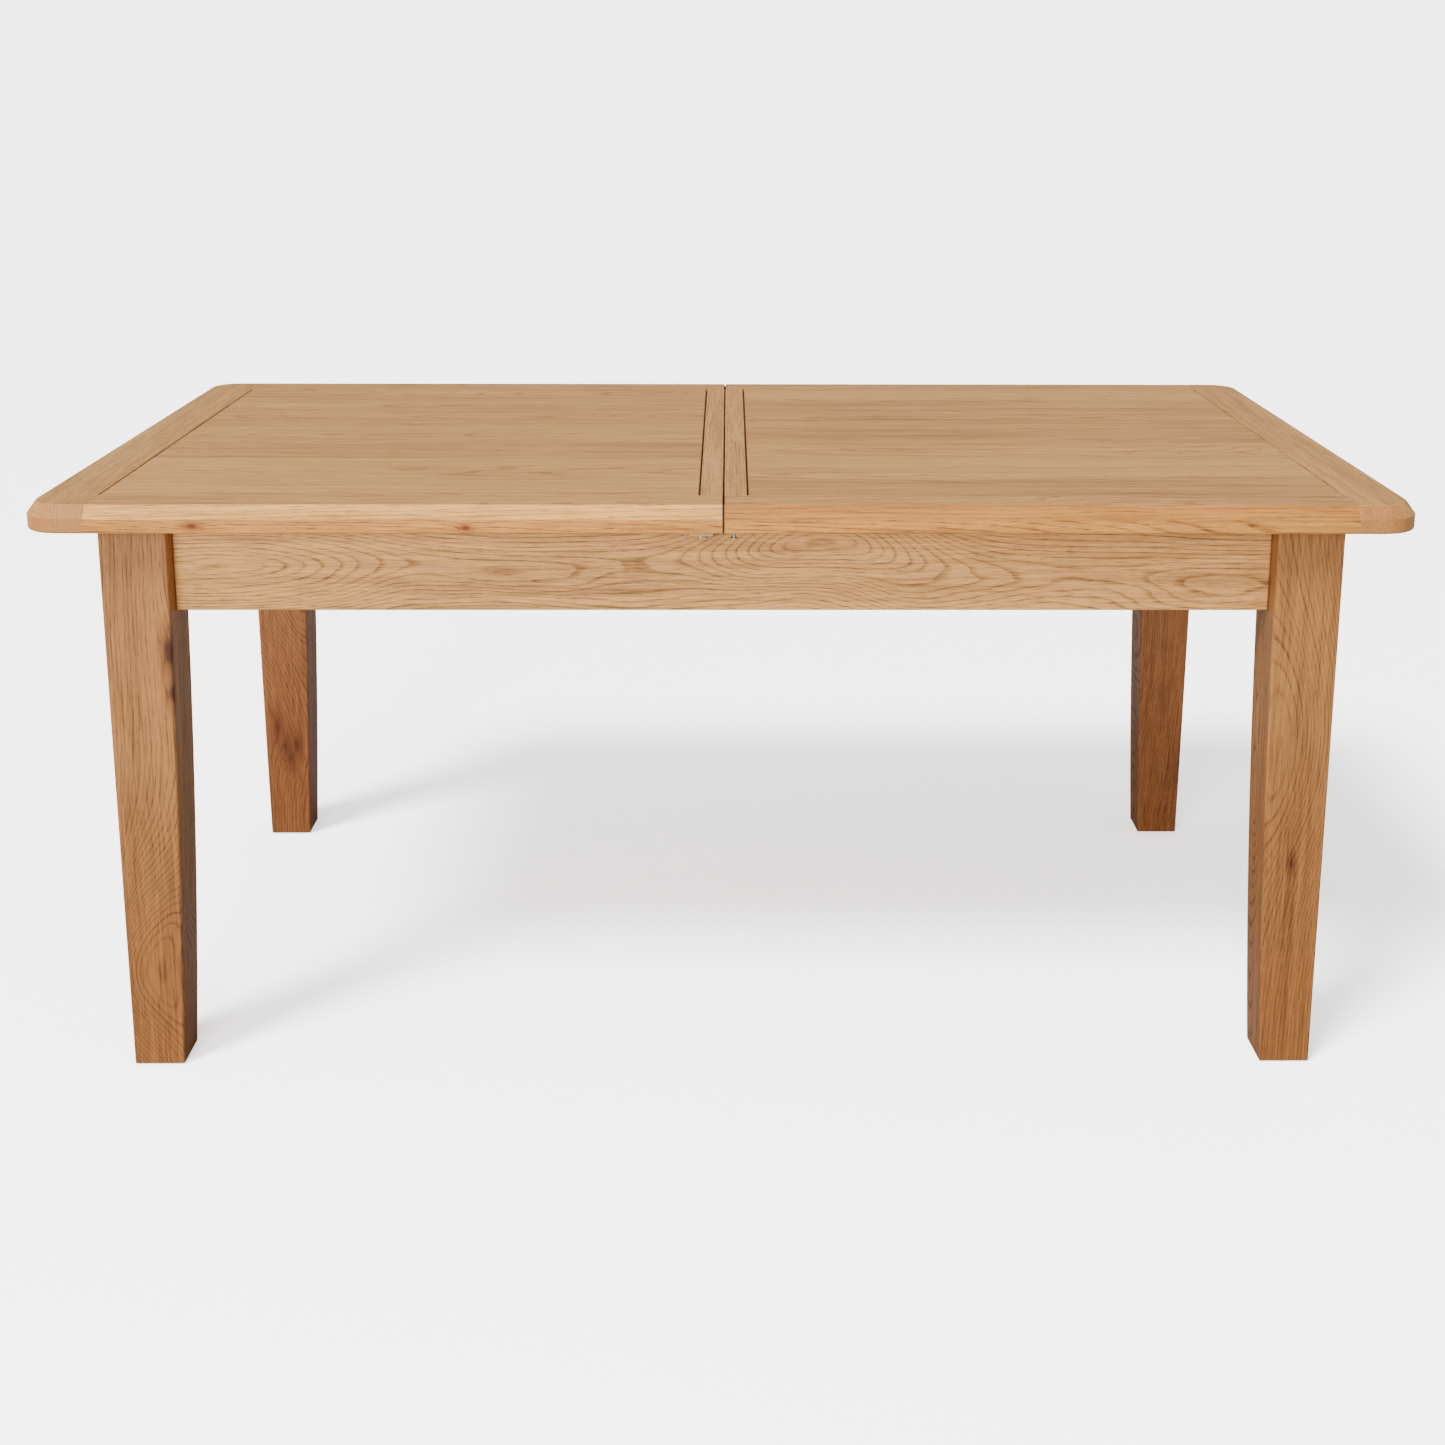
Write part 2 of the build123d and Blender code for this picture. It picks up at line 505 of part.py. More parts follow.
def slider(side, end):
    """A bar under one half: a tongue runs in the fixed rail, a channel above it holds the rack."""
    middle, x = end * slider_y(side), (side * SLIDER_OUTER_END, -side * SLIDER_INNER_END)
    toward = -1 if slider_y(side) > RAIL_Y else 1  # from the slider to the rail, for the back rail
    face = middle + end * toward * SLIDER / 2
    with BuildPart() as bar:
        slab(x, (middle - SLIDER / 2, middle + SLIDER / 2), (SLIDER_LOW, UNDERSIDE))
        # The tongue in the rail's groove.
        tongue_end = face + end * toward * (SLIDE_PLAY + GUIDE - 0.6)
        slab(x, (face - end * toward, tongue_end), (GUIDE_LOW + GUIDE_PLAY, GUIDE_HIGH - GUIDE_PLAY))
        # The free end runs clear of the other half.
        relief = (UNDERSIDE - SLIDER_RELIEF, UNDERSIDE + 1)
        slab((0, x[1]), (middle - SLIDER, middle + SLIDER), relief, mode=Mode.SUBTRACT)
        # The channel for the rack, as deep as the rack's back.
        pitch = end * (RAIL_Y - toward * PITCH_RADIUS)
        back = pitch - end * toward * RACK_BACK
        channel = (-side * (SLIDER_INNER_END + 1), side * (RACK_NEAR + CHANNEL_PAST))
        slab(channel, (face + end * toward, back), (RACK_LOW, RACK_HIGH), mode=Mode.SUBTRACT)
        for screw_x in SLIDER_SCREW_XS:
            start = (side * screw_x, middle, SLIDER_LOW)
            rod(start, (0, 0, 1), SCREW_SEAT - SLIDER_LOW, SLIDER_SCREW_HEAD + 0.5, mode=Mode.SUBTRACT)
            rod(start, (0, 0, 1), 80, SLIDER_SCREW + HOLE_PLAY, mode=Mode.SUBTRACT)
    return bar


def rack(side, end):
    """A rack along the channel, its teeth towards the pinion, with a tooth gap at the table's centre."""
    toward = -1 if slider_y(side) > RAIL_Y else 1
    pitch = end * (RAIL_Y - toward * PITCH_RADIUS)
    tip, root = pitch + end * toward * ADDENDUM, pitch - end * toward * DEDENDUM
    back = pitch - end * toward * RACK_BACK
    slope = tan(PRESSURE_ANGLE)
    half = (RACK_PITCH - BACKLASH) / 4  # half a tooth's thickness at the pitch line
    x = rack_limits(side)
    with BuildPart() as bar:
        slab(x, (root, back), (RACK_LOW, RACK_HIGH))
        with BuildSketch(Plane.XY.offset(PINION_LOW)) as teeth:
            first, last = int(min(x) / RACK_PITCH) - 1, int(max(x) / RACK_PITCH) + 1
            for number in range(first, last):
                centre = (number + 0.5) * RACK_PITCH
                if min(x) < centre - RACK_PITCH / 2 and centre + RACK_PITCH / 2 < max(x):
                    wide, narrow = half + slope * DEDENDUM, half - slope * ADDENDUM
                    with BuildLine():
                        Polyline(
                            (centre - wide, root), (centre - narrow, tip), (centre + narrow, tip),
                            (centre + wide, root), close=True,
                        )
                    make_face()
        extrude(teeth.sketch, amount=PINION_HIGH - PINION_LOW)
    return bar


def involute(base, radius):
    """The polar angle of a base circle's involute at the given radius."""
    turn = acos(base / radius)
    return tan(turn) - turn


def pinion(end):
    """A spur gear with a tooth pointing at each rack's gap."""
    base = PITCH_RADIUS * cos(PRESSURE_ANGLE)
    tip, root = PITCH_RADIUS + ADDENDUM, PITCH_RADIUS - DEDENDUM
    half = (pi / 2 - BACKLASH / (2 * MODULE)) / TEETH + involute(base, PITCH_RADIUS)
    radii = [base + (tip - base) * step / 6 for step in range(7)]
    flank = [(root, half)] + [(r, half - involute(base, r)) for r in radii]
    with BuildPart() as gear:
        with BuildSketch(Plane.XY.offset(PINION_LOW)) as outline:
            with BuildLine():
                points = []
                for tooth in range(TEETH):
                    middle = 2 * pi * tooth / TEETH
                    for r, angle in flank:
                        points.append((r * cos(middle - angle), r * sin(middle - angle)))
                    for r, angle in reversed(flank):
                        points.append((r * cos(middle + angle), r * sin(middle + angle)))
                Polyline(*[(x, y + end * RAIL_Y) for x, y in points], close=True)
            make_face()
        extrude(outline.sketch, amount=PINION_HIGH - PINION_LOW)
        bore = AXLE_RADIUS + AXLE_PLAY
        rod((0, end * RAIL_Y, PINION_LOW - 1), (0, 0, 1), 20, bore, mode=Mode.SUBTRACT)
    return gear


for end_name, end in ENDS.items():
    save(pinion(end), f"pinion_{end_name}")
    for side_name, side in SIDES.items():
        save(slider(side, end), f"slider_{end_name}_{side_name}")
        save(rack(side, end), f"rack_{end_name}_{side_name}")

with BuildPart() as pinion_axles:
    for end in ENDS.values():
        rod((0, end * RAIL_Y, AXLE_LOW), (0, 0, 1), PINION_HIGH + 0.5 - AXLE_LOW, AXLE_RADIUS)
        rod((0, end * RAIL_Y, PINION_HIGH + 0.5), (0, 0, 1), 3, AXLE_HEAD)
save(pinion_axles, "pinion_axles")

for side_name, side in SIDES.items():
    with BuildPart() as slider_screws:
        for end in ENDS.values():
            for screw_x in SLIDER_SCREW_XS:
                head = (side * screw_x, end * slider_y(side), SCREW_SEAT - SLIDER_SCREW_HEAD_HEIGHT)
                rod(head, (0, 0, 1), SLIDER_SCREW_HEAD_HEIGHT, SLIDER_SCREW_HEAD)
                rod(head, (0, 0, 1), UNDERSIDE + SCREW_BITE - 1 - head[2], SLIDER_SCREW)
    save(slider_screws, f"slider_screws_{side_name}")

# ---------------------------------------------------------------- catches

with BuildPart() as catch_packers:
    for end in ENDS.values():
        y = (end * CATCH_Y - PACKER_WIDTH / 2, end * CATCH_Y + PACKER_WIDTH / 2)
        slab(PACKER_X, y, (EDGE_UNDERSIDE - PACKER, EDGE_UNDERSIDE))
    chamfer(catch_packers.edges().filter_by(Axis.Y).group_by(Axis.Z)[0], 2)
    for end in ENDS.values():
        start = (PIVOT_X, end * CATCH_Y, EDGE_UNDERSIDE - PACKER)
        rod(start, (0, 0, 1), PACKER, PIVOT_RADIUS + PIVOT_PLAY, mode=Mode.SUBTRACT)
save(catch_packers, "catch_packers")

LEVER_TOP = EDGE_UNDERSIDE - PACKER - LEVER_GAP
with BuildPart() as catch_pivots:
    for end in ENDS.values():
        y, bottom = end * CATCH_Y, LEVER_TOP - LEVER - 0.3
        rod((PIVOT_X, y, bottom - PIVOT_HEAD_HEIGHT), (0, 0, 1), PIVOT_HEAD_HEIGHT, PIVOT_HEAD)
        rod((PIVOT_X, y, bottom), (0, 0, 1), EDGE_UNDERSIDE - bottom, PIVOT_RADIUS)
        rod((PIVOT_X, y, EDGE_UNDERSIDE), (0, 0, 1), CATCH_BITE - 1, CATCH_PIN)
save(catch_pivots, "catch_pivots")


def catch_lever(end):
    """A flat bar swung inwards off its keeper, with a curved slot open on the side that meets the keeper."""
    reach = KEEPER_X - PIVOT_X
    with BuildPart() as bar:
        with BuildSketch(Plane.XY.offset(LEVER_TOP - LEVER)):
            with Locations(((LEVER_TAIL + LEVER_REACH) / 2, 0)):
                SlotOverall(LEVER_REACH - LEVER_TAIL, LEVER_WIDTH)
            Circle(PIVOT_RADIUS + PIVOT_PLAY, mode=Mode.SUBTRACT)
            with Locations((reach, 0)):
                Circle(SLOT_RADIUS, mode=Mode.SUBTRACT)
            with Locations((reach, end * LEVER_WIDTH / 2)):
                Rectangle(2 * SLOT_RADIUS, LEVER_WIDTH, mode=Mode.SUBTRACT)
        extrude(amount=LEVER)
    swing = Location((PIVOT_X, end * CATCH_Y, 0)) * Location((0, 0, 0), (0, 0, -end * LEVER_OPEN))
    with BuildPart() as swung:
        add(bar.part.moved(swing))
    return swung


for end_name, end in ENDS.items():
    save(catch_lever(end), f"catch_lever_{end_name}")

with BuildPart() as catch_keepers:
    for end in ENDS.values():
        y, bottom = end * CATCH_Y, LEVER_TOP - LEVER - 1.0
        rod((KEEPER_X, y, bottom - 1.5), (0, 0, 1), 1.5, KEEPER_HEAD)
        rod((KEEPER_X, y, bottom), (0, 0, 1), EDGE_UNDERSIDE - bottom, KEEPER_RADIUS)
        rod((KEEPER_X, y, EDGE_UNDERSIDE), (0, 0, 1), CATCH_BITE - 1, CATCH_PIN)
save(catch_keepers, "catch_keepers")

with BuildPart() as catch_staples:
    for end in ENDS.values():
        x, low = sum(STAPLE_X) / 2, EDGE_UNDERSIDE - STAPLE_DEPTH
        near, far = end * CATCH_Y - STAPLE_Y / 2, end * CATCH_Y + STAPLE_Y / 2
        for y in (near, far):
            rod((x, y, low), (0, 0, 1), STAPLE_DEPTH + CATCH_BITE - 2, STAPLE_WIRE)
        rod((x, near, low), (0, 1, 0), far - near, STAPLE_WIRE)
        for y in (near, far):
            with Locations((x, y, low)):
                Sphere(STAPLE_WIRE)
save(catch_staples, "catch_staples")

# ---------------------------------------------------------------- the folded leaf, its pivots and rests

LEAF_Y = (-LEAF_HALF / 2, LEAF_HALF / 2)
LEAF_X = (-LEAF / 2, LEAF / 2)
FOLD_Y = LEAF_Y[0]
HINGE_XS = (-HINGE_SPACING, 0.0, HINGE_SPACING)
LEAF_LAYERS = {"pivoted": (LEAF_FACE, LEAF_FACE + BOARD), "folding": (LEAF_FACE - BOARD, LEAF_FACE)}


def leaf_half(layer):
    """One half of the leaf with its bevelled outer edge, and the recesses for the hinges at the fold."""
    with BuildPart() as board:
        slab(LEAF_X, LEAF_Y, layer)
        face_edge = board.edges().filter_by(Axis.X).sort_by(Axis.Y)[-2:].sort_by(Axis.Z)
        show = face_edge[0] if layer[0] == LEAF_FACE else face_edge[-1]
        wall = board.faces().sort_by(Axis.Y)[-1]
        chamfer([show], BEVEL_DROP, BEVEL_IN, reference=wall)
        for x in HINGE_XS:
            along = (x - HINGE_LENGTH / 2 - 0.2, x + HINGE_LENGTH / 2 + 0.2)
            plate, knuckle = (layer[0] + 1.5, layer[1] - 1.5), (LEAF_FACE - 3.4, LEAF_FACE + 3.4)
            slab(along, (FOLD_Y, FOLD_Y + HINGE_PLATE), plate, mode=Mode.SUBTRACT)
            slab(along, (FOLD_Y, FOLD_Y + 3), knuckle, mode=Mode.SUBTRACT)
    return board


for name, layer in LEAF_LAYERS.items():
    save(leaf_half(layer), f"leaf_{name}_half")

with BuildPart() as leaf_hinges:
    third, play = HINGE_LENGTH / 3, 0.15
    for x in HINGE_XS:
        # The knuckles: two for the pivoted half, the middle one for the folding half.
        for offset, direction in ((-1.5, 1), (-0.5, -1), (0.5, 1)):
            start = x + offset * third + play
            reach = (LEAF_FACE, LEAF_FACE + direction * 5)
            rod((start, FOLD_Y + 0.2, LEAF_FACE), (1, 0, 0), third - 2 * play, HINGE_KNUCKLE)
            slab((start, start + third - 2 * play), (FOLD_Y, FOLD_Y + HINGE_PLATE), reach)
        for direction in (1, -1):
            z = (LEAF_FACE + direction * 4, LEAF_FACE + direction * (BOARD - 2))
            slab((x - 1.5 * third + play, x + 1.5 * third - play), (FOLD_Y, FOLD_Y + HINGE_PLATE), z)
    for x in HINGE_XS:
        rod((x - 40, FOLD_Y + 0.2, LEAF_FACE), (1, 0, 0), 80, HINGE_PIN + 0.05, mode=Mode.SUBTRACT)
    for x in HINGE_XS:
        rod((x - HINGE_LENGTH / 2, FOLD_Y + 0.2, LEAF_FACE), (1, 0, 0), HINGE_LENGTH, HINGE_PIN)
save(leaf_hinges, "leaf_hinges")

with BuildPart() as leaf_pivot_blocks:
    for side in SIDES.values():
        x = (side * (LEAF / 2 - PIVOT_BLOCK), side * LEAF / 2)
        y = (LEAF_PIVOT_Y - PIVOT_BLOCK / 2, LEAF_PIVOT_Y + PIVOT_BLOCK / 2)
        slab(x, y, (LEAF_FACE + BOARD, LEAF_PIVOT_Z + LEAF_PIVOT_RADIUS + 3))
        rod((0, LEAF_PIVOT_Y, LEAF_PIVOT_Z), (side, 0, 0), 300, LEAF_PIVOT_RADIUS, mode=Mode.SUBTRACT)
save(leaf_pivot_blocks, "leaf_pivot_blocks")

POST_X = (INNER_BEARER_X - BEARER / 2, INNER_BEARER_X + BEARER / 2)
with BuildPart() as leaf_pivot_posts:
    for side in SIDES.values():
        x = (side * POST_X[0], side * POST_X[1])
        y = (LEAF_PIVOT_Y - PIVOT_BLOCK / 2, LEAF_PIVOT_Y + PIVOT_BLOCK / 2)
        slab(x, y, (BEARER_HIGH, LEAF_PIVOT_Z + LEAF_PIVOT_RADIUS + 3))
        bore = LEAF_PIVOT_RADIUS + LEAF_PIVOT_PLAY
        rod((side * 200, LEAF_PIVOT_Y, LEAF_PIVOT_Z), (side, 0, 0), 300, bore, mode=Mode.SUBTRACT)
save(leaf_pivot_posts, "leaf_pivot_posts")

with BuildPart() as leaf_pivots:
    for side in SIDES.values():
        start = (side * (LEAF / 2 - PIVOT_BLOCK), LEAF_PIVOT_Y, LEAF_PIVOT_Z)
        rod(start, (side, 0, 0), POST_X[1] - LEAF / 2 + PIVOT_BLOCK - 4, LEAF_PIVOT_RADIUS)
save(leaf_pivots, "leaf_pivots")

with BuildPart() as leaf_rests:
    for side in SIDES.values():
        slab((side * (POST_X[0] - REST), side * POST_X[0]), (-200, 200), (BEARER_LOW + 10, LEAF_FACE - BOARD))
save(leaf_rests, "leaf_rests")
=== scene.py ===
"""An extending oak dining table on a pale studio floor, in procedural wood, steel and felt."""

from math import cos, pi, radians, sin

import bpy
from mathutils import Matrix, Vector

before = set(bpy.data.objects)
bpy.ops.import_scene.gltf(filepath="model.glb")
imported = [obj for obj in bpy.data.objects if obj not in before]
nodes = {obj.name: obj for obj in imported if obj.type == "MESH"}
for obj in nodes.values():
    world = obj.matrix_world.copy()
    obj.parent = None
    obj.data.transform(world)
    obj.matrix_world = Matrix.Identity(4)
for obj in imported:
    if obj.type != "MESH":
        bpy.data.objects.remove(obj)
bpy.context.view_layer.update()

# ---------------------------------------------------------------- a small kit for shader nodes


class Graph:
    """Adds shader nodes to one material. An input may be a number, a tuple or another node's output."""

    def __init__(self, name):
        self.material = bpy.data.materials.new(name)
        self.material.use_nodes = True
        self.tree = self.material.node_tree
        self.tree.nodes.clear()
        self.output = self.tree.nodes.new("ShaderNodeOutputMaterial")
        self.shader = self.tree.nodes.new("ShaderNodeBsdfPrincipled")
        self.tree.links.new(self.shader.outputs["BSDF"], self.output.inputs["Surface"])

    def plug(self, socket, value):
        """Links value to the socket, or sets it there when it is a plain number or tuple."""
        if isinstance(value, bpy.types.NodeSocket):
            self.tree.links.new(value, socket)
        else:
            socket.default_value = value

    def math(self, operation, a, b=0.0, c=0.0, clamp=False):
        """One sum. MULTIPLY_ADD gives a * b + c."""
        node = self.tree.nodes.new("ShaderNodeMath")
        node.operation = operation
        node.use_clamp = clamp
        for socket, value in zip(node.inputs, (a, b, c)):
            self.plug(socket, value)
        return node.outputs[0]

    def vector(self, x, y, z):
        node = self.tree.nodes.new("ShaderNodeCombineXYZ")
        for socket, value in zip(node.inputs, (x, y, z)):
            self.plug(socket, value)
        return node.outputs[0]

    def split(self, value):
        node = self.tree.nodes.new("ShaderNodeSeparateXYZ")
        self.plug(node.inputs[0], value)
        return node.outputs

    def coords(self, which="Object"):
        return self.tree.nodes.new("ShaderNodeTexCoord").outputs[which]

    def noise(self, vector, detail=2.0, roughness=0.5, distortion=0.0):
        node = self.tree.nodes.new("ShaderNodeTexNoise")
        self.plug(node.inputs["Vector"], vector)
        node.inputs["Scale"].default_value = 1.0
        node.inputs["Detail"].default_value = detail
        node.inputs["Roughness"].default_value = roughness
        node.inputs["Distortion"].default_value = distortion
        return node.outputs["Fac"]

    def cells(self, number):
        """A random value and colour for each whole number."""
        node = self.tree.nodes.new("ShaderNodeTexWhiteNoise")
        node.noise_dimensions = "1D"
        self.plug(node.inputs["W"], number)
        return node.outputs

    def spread(self, value, low, high, to_low=0.0, to_high=1.0, smooth=True):
        """Maps the range low to high onto to_low to to_high, clamped at both ends."""
        node = self.tree.nodes.new("ShaderNodeMapRange")
        node.interpolation_type = "SMOOTHSTEP" if smooth else "LINEAR"
        for socket, v in zip(node.inputs, (value, low, high, to_low, to_high)):
            self.plug(socket, v)
        return node.outputs[0]

    def mix(self, factor, a, b, blend="MIX"):
        node = self.tree.nodes.new("ShaderNodeMix")
        node.data_type = "RGBA"
        node.blend_type = blend
        self.plug(node.inputs["Factor"], factor)
        self.plug(node.inputs["A"], a)
        self.plug(node.inputs["B"], b)
        return node.outputs["Result"]

    def bump(self, height, strength, distance):
        node = self.tree.nodes.new("ShaderNodeBump")
        node.inputs["Strength"].default_value = strength
        node.inputs["Distance"].default_value = distance
        self.plug(node.inputs["Height"], height)
        return node.outputs[0]


def rgb(r, g, b):
    """A colour given as it looks on screen, 0 to 255, turned linear."""
    return tuple(((c / 255 + 0.055) / 1.055) ** 2.4 if c > 10 else c / 3295 for c in (r, g, b)) + (1.0,)


def apply(material, *names):
    """Puts one material on the named pieces, in place of any they have."""
    for name in names:
        mesh = nodes[name].data
        mesh.materials.clear()
        mesh.materials.append(material)


# ---------------------------------------------------------------- wood

AXES = {"X": 0, "Y": 1, "Z": 2}


def tinted(colour, factors):
    """A colour with its red, green and blue scaled by the three factors."""
    return tuple(c * k for c, k in zip(colour[:3], factors)) + (1.0,)


def along_grain(g, place, lengthways, sideways, shift):
    """A place scaled for noise that runs with the grain."""
    u, v, w = place
    start = g.math("MULTIPLY_ADD", u, lengthways, shift)
    return g.vector(start, g.math("MULTIPLY", v, sideways), g.math("MULTIPLY", w, sideways))


def add_knots(g, place, radius, ripple, knots, knot_length):
    """Swells the rings round each knot.

    Returns the new radius, and how far each point is in a knot and in its halo.
    """
    u, v, w = place
    knot_dark, knot_ring = None, None
    for along, sideways, depth, size in knots:
        du = g.math("MULTIPLY", g.math("SUBTRACT", u, along), knot_length)
        dk = g.math("SUBTRACT", v, sideways)
        dd = g.math("SUBTRACT", w, depth)
        flat_square = g.math("ADD", g.math("MULTIPLY", du, du), g.math("MULTIPLY", dk, dk))
        square = g.math("ADD", flat_square, g.math("MULTIPLY", dd, dd))
        d = g.math("DIVIDE", g.math("SQRT", square), size)
        d = g.math("MULTIPLY_ADD", g.math("SUBTRACT", ripple, 0.5), 1.2, d)
        swell = g.math("MULTIPLY", g.math("EXPONENT", g.math("MULTIPLY", d, -0.55)), size * 1.6)
        radius = g.math("ADD", radius, swell)
        core = g.spread(d, 1.25, 0.35)
        halo = g.spread(d, 3.2, 0.8)
        knot_dark = core if knot_dark is None else g.math("MAXIMUM", knot_dark, core)
        knot_ring = halo if knot_ring is None else g.math("MAXIMUM", knot_ring, halo)
    return radius, knot_dark, knot_ring


def end_grain(g, place, early, pale, dark, seed):
    """The colour of the sawn ends: darker, with the rings and fine specks."""
    v, w = place
    speck = g.noise(g.vector(g.math("MULTIPLY", v, 700.0), g.math("MULTIPLY", w, 700.0), seed), 1.0, 0.5)
    specks = g.math("MULTIPLY", g.spread(speck, 0.45, 0.7), 0.5)
    amount = g.math("ADD", g.math("MULTIPLY", early, 0.55), specks)
    end_pale = tinted(pale, (0.66, 0.56, 0.50))
    end_dark = tinted(dark, (0.62, 0.50, 0.46))
    return g.mix(g.math("MULTIPLY", amount, 0.8, clamp=True), end_pale, end_dark)


def wood(name, grain, face, pale, dark, seed, pith=(0.0, -0.05), tilt=(0.0, 0.0), ring=0.0045,
         contrast=1.0, warp=0.012, planks=None, knots=(), arches=(), pores=1.0, tone=0.25, fleck=0.0,
         stretch=1.0, shine=0.22, streaks=1.1, knot_length=0.55, foot=None, bevel_light=None):
    """Wood with growth rings round a pith line.

    grain and face name the axes along the grain and out of the board.
    pith is the pith line's place on the across and face axes, in the table's frame. tilt is how far
    it wanders per metre along the grain: a tilted pith gives arches.
    knots is a list of (along, across, depth, radius) in metres.
    arches is a list of (along, half length, depth share, sideways): places where the pith comes
    near the face, so that the rings close into ovals.
    foot, if given, is the tint that the wood darkens towards at its lower end: partly the wood's own tone,
    partly painted shade.
    The sloping-face colours, if given, are the pale and dark colours of faces that tilt away from the board's
    face, painted lighter or darker as if lit or shaded.
    """
    g = Graph(name)
    across = ({"X", "Y", "Z"} - {grain, face}).pop()
    xyz = g.split(g.coords())
    u, v, w = xyz[AXES[grain]], xyz[AXES[across]], xyz[AXES[face]]
    tint = None
    if planks:
        # Each plank is its own board: its number picks its tone and its place in the log.
        start, width = planks
        number = g.math("FLOOR", g.math("DIVIDE", g.math("SUBTRACT", v, start), width))
        picked = g.cells(g.math("ADD", number, seed * 7.31))
        tint = picked["Value"]
        shift = g.split(picked["Color"])
        centre = g.math("MULTIPLY_ADD", g.math("ADD", number, 0.5), width, start)
        local_v = g.math("SUBTRACT", v, centre)
        pith_v = g.math("MULTIPLY_ADD", g.math("SUBTRACT", shift[0], 0.5), 0.16, pith[0])
        pith_w = g.math("MULTIPLY_ADD", shift[1], -0.06, pith[1])
        u_own = g.math("MULTIPLY_ADD", shift[2], 3.0, u)
    else:
        local_v, pith_v, pith_w, u_own = v, pith[0], pith[1], u
    place = g.vector(
        g.math("MULTIPLY_ADD", u_own, 1.6 * stretch, seed * 3.17),
        g.math("MULTIPLY_ADD", v, 7.0, seed * 1.93),
        g.math("MULTIPLY_ADD", w, 7.0, seed * 2.71),
    )
    sway = g.noise(place, 1.5, 0.45)
    ripple = g.noise(g.vector(
        g.math("MULTIPLY_ADD", u_own, 9.0, seed),
        g.math("MULTIPLY_ADD", v, 42.0, seed * 5.0),
        g.math("MULTIPLY", w, 42.0),
    ), 2.0, 0.5)
    bend = g.math("MULTIPLY_ADD", g.math("SUBTRACT", sway, 0.5), warp * 6.0,
                  g.math("MULTIPLY", g.math("SUBTRACT", ripple, 0.5), warp * 0.55))
    dv = g.math("ADD", g.math("SUBTRACT", g.math("SUBTRACT", local_v, pith_v),
                              g.math("MULTIPLY", u, tilt[0])), bend)
    dw = g.math("SUBTRACT", g.math("SUBTRACT", w, pith_w), g.math("MULTIPLY", u, tilt[1]))
    dw = g.math("ADD", dw, g.math("MULTIPLY", bend, 0.8))
    for along, length, share, sideways in arches:
        far = g.math("DIVIDE", g.math("SUBTRACT", u, along), length)
        near = g.math("EXPONENT", g.math("MULTIPLY", g.math("MULTIPLY", far, far), -1.0))
        dw = g.math("MULTIPLY", dw, g.math("MULTIPLY_ADD", near, -share, 1.0))
        dv = g.math("MULTIPLY_ADD", near, -sideways, dv)
    radius = g.math("SQRT", g.math("ADD", g.math("MULTIPLY", dv, dv), g.math("MULTIPLY", dw, dw)))
    radius, knot_dark, knot_ring = add_knots(g, (u, v, w), radius, ripple, knots, knot_length)
    # Ring widths vary from year to year.
    years = g.noise(g.vector(g.math("MULTIPLY", radius, 60.0), seed, 0.5), 1.0, 0.5)
    turns = g.math("DIVIDE", g.math("MULTIPLY_ADD", years, ring * 1.6, radius), ring)
    phase = g.math("FRACT", turns)
    early = g.math("MULTIPLY", g.spread(phase, 0.0, 0.06), g.spread(phase, 0.42, 0.08))
    strong = g.noise(g.vector(g.math("MULTIPLY", radius, 110.0), seed * 2.0, 3.0), 0.0, 0.5)
    early = g.math("MULTIPLY", early, g.spread(strong, 0.25, 0.75, 0.35, 1.0))
    # Pores: short dark dashes along the grain, most of them in the early wood.
    own = (u_own, v, w)
    fine = g.noise(along_grain(g, own, 60.0, 950.0, seed), 1.0, 0.5)
    long = g.noise(along_grain(g, own, 26.0, 430.0, seed * 3.0), 1.0, 0.5)
    pore = g.math("MAXIMUM", g.spread(fine, 0.54, 0.70), g.math("MULTIPLY", g.spread(long, 0.55, 0.72), 0.8))
    pore = g.math("MULTIPLY", pore, g.math("MULTIPLY_ADD", early, 0.65, 0.35))
    fibre = g.noise(along_grain(g, own, 14.0, 420.0, seed), 3.0, 0.6)
    broad = g.noise(along_grain(g, own, 2.2, 13.0, seed * 4.0), 2.0, 0.5)
    streak = g.noise(along_grain(g, own, 3.0, 105.0, seed * 2.0), 2.0, 0.6)
    amount = g.math("MULTIPLY", early, 0.62 * contrast)
    amount = g.math("MULTIPLY_ADD", g.math("SUBTRACT", streak, 0.5), streaks, amount)
    amount = g.math("MULTIPLY_ADD", g.math("SUBTRACT", fibre, 0.5), 1.5, amount)
    amount = g.math("MULTIPLY_ADD", g.math("SUBTRACT", broad, 0.5), tone * 2.0, amount)
    if tint is not None:
        amount = g.math("MULTIPLY_ADD", g.math("SUBTRACT", tint, 0.5), tone * 1.1, amount)
    amount = g.math("ADD", amount, 0.22, clamp=True)
    # Painted light: faces that tilt away from the board's face get their own colours, painted lighter or
    # darker as if lit or shaded from the side.
    if bevel_light:
        level = g.spread(g.math("ABSOLUTE", g.split(g.coords("Normal"))[AXES[face]]), 0.85, 0.97)
        colour = g.mix(amount, g.mix(level, bevel_light[0], pale), g.mix(level, bevel_light[1], dark))
    else:
        colour = g.mix(amount, pale, dark)
    # Darker towards the lower end: partly the wood's own tone, partly painted shade.
    if foot:
        colour = g.mix(g.spread(u, 0.55, 0.05, 0.0, 0.75), colour, foot, "MULTIPLY")
    deep = tinted(dark, (0.42, 0.42, 0.42))
    colour = g.mix(g.math("MULTIPLY", pore, 0.8 * pores, clamp=True), colour, deep)
    if fleck:
